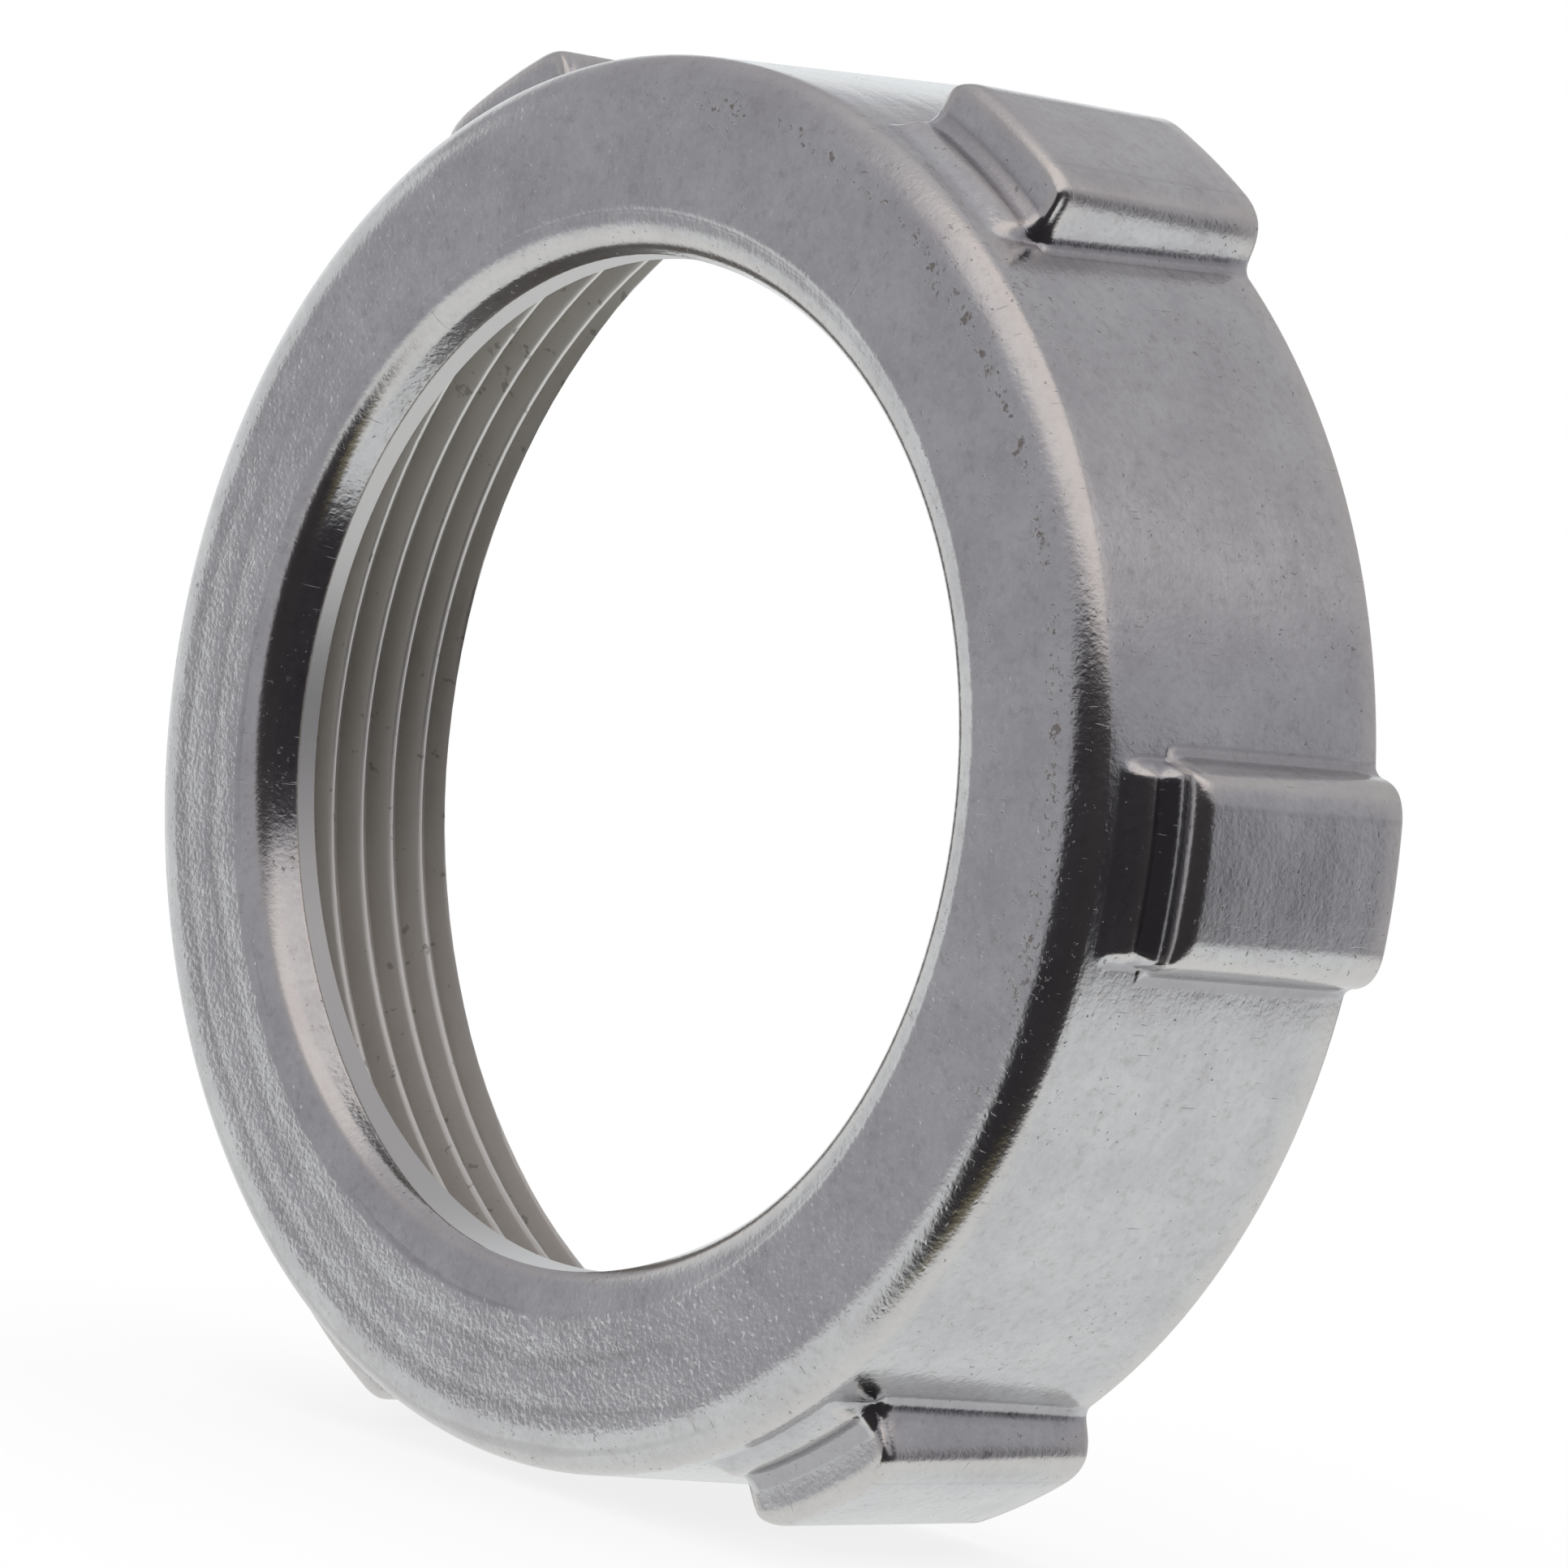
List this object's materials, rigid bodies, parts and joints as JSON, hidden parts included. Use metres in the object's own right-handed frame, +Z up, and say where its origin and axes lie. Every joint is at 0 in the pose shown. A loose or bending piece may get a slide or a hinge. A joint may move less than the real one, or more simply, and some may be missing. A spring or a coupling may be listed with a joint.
{
  "type": "pipe union nut",
  "caption": "Die-cast lugged union nut: a drafted ring with rounded wrench lugs, an inner lip with a turned tube bore, and a threaded socket open at the rear.",
  "frame": {"origin": "centre of the nut: on its axis, half-way between the lip's front face and the open rear face", "axes": "+Y along the axis towards the open threaded end, +X through the middle of a trimmed lug, +Z up as the nut stands on its rim"},
  "size_m": [0.0588, 0.0144, 0.056],
  "materials": {
    "cast_zinc": "bright tumbled die-cast zinc alloy with small pits and scratches"
  },
  "bodies": {
    "root": {"union_nut": "cast_zinc"}
  },
  "joints": []
}
